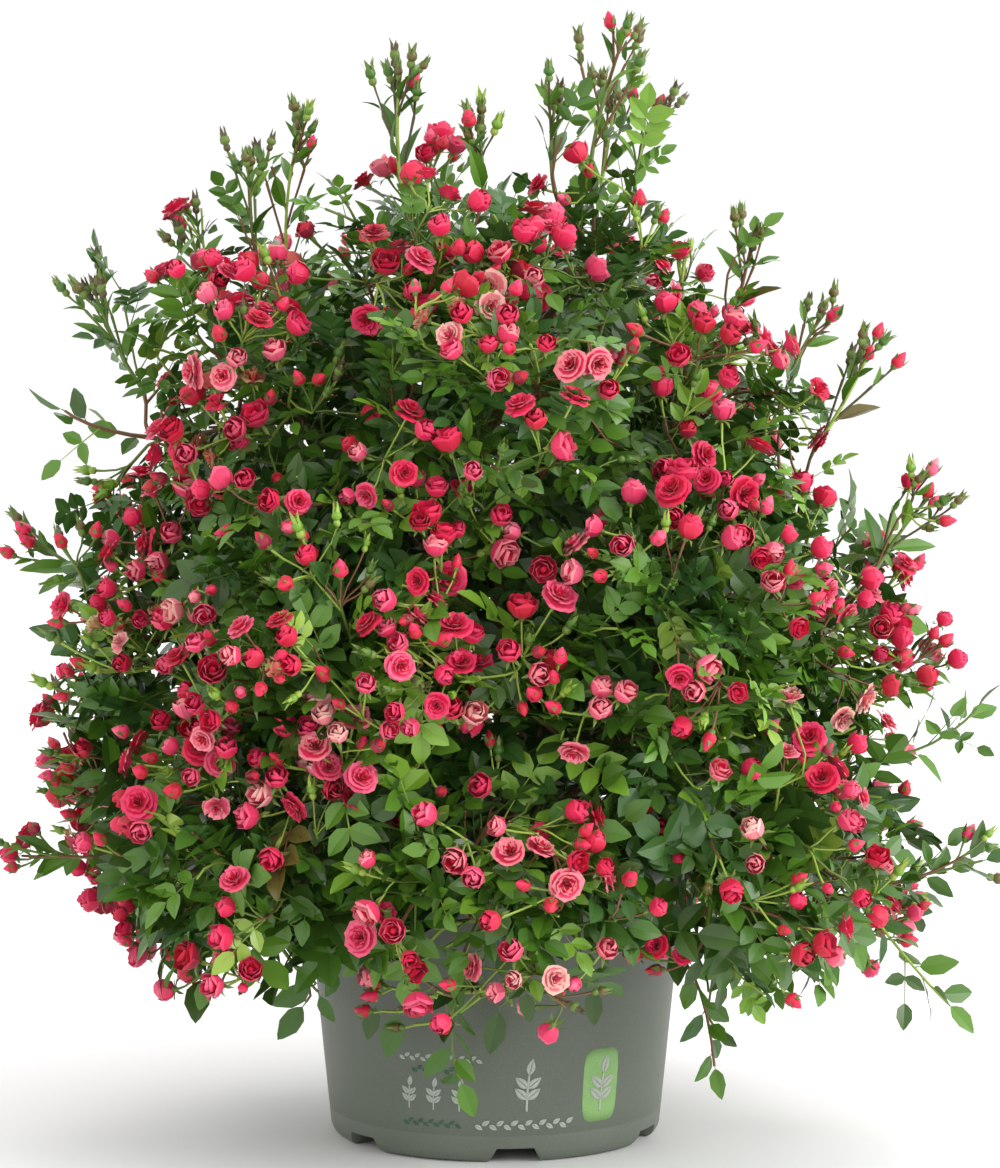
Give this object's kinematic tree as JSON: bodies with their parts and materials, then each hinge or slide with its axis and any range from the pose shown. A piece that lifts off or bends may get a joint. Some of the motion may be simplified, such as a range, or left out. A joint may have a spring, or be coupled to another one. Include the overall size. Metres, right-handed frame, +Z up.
{
  "type": "potted bush rose",
  "caption": "Small-flowered bush rose, full and rounded with airy upright sprays, growing in a tapered plastic nursery pot that stands on a notched foot ring.",
  "frame": {"origin": "on the ground at the middle of the pot's foot, which is the bottom centre of the whole plant's box", "axes": "+Z up, along the pot's axis and the plant's height; -Y the front; +X the plant's right as seen from the front"},
  "size_m": [0.624, 0.5476, 0.703],
  "materials": {
    "pot_plastic": "satin",
    "potting_mix": "matte",
    "rose_bark": "matte",
    "foliage": "satin",
    "blossom": "matte"
  },
  "bodies": {
    "root": {"pot": "pot_plastic", "potting_mix": "potting_mix", "crown_stem": "rose_bark", "cane_outer_1": "rose_bark", "cane_outer_2": "rose_bark", "cane_outer_3": "rose_bark", "cane_outer_4": "rose_bark", "cane_outer_5": "rose_bark", "cane_inner_1": "rose_bark", "cane_inner_2": "rose_bark", "cane_inner_3": "rose_bark", "skirt_front": "foliage", "skirt_front_right": "foliage", "skirt_right": "foliage", "skirt_back_right": "foliage", "skirt_back_left": "foliage", "skirt_left": "foliage", "skirt_front_left": "foliage", "belt_front_right": "foliage", "belt_right": "foliage", "belt_back_right": "foliage", "belt_back_left": "foliage", "belt_left": "foliage", "belt_front_left": "foliage", "shoulder_front": "foliage", "shoulder_right": "foliage", "shoulder_back_right": "foliage", "shoulder_back_left": "foliage", "shoulder_left": "foliage", "top_right": "foliage", "top_back_left": "foliage", "top_front_left": "foliage", "spray_crest": "blossom", "spray_crest_inner": "blossom", "spray_crest_outer": "blossom", "spray_peak": "blossom", "spray_middle": "blossom", "spray_thin": "blossom", "spray_far_left": "blossom", "spray_left_high": "blossom", "spray_shoulder_right": "blossom", "spray_right_upper": "blossom", "spray_right_side": "blossom", "spray_right_edge": "blossom", "spray_right_belt": "blossom", "spray_left_upper": "blossom", "spray_left_edge": "blossom", "spray_left_leaf": "foliage", "spray_back_crest": "blossom", "spray_back_right": "blossom", "spray_back_left": "blossom", "pad_right": "foliage", "pad_right_low": "foliage", "pad_right_trailing": "foliage", "pad_left_low": "blossom", "pad_front_hanging": "foliage", "pad_front_right": "foliage", "pad_back": "foliage"}
  },
  "joints": []
}
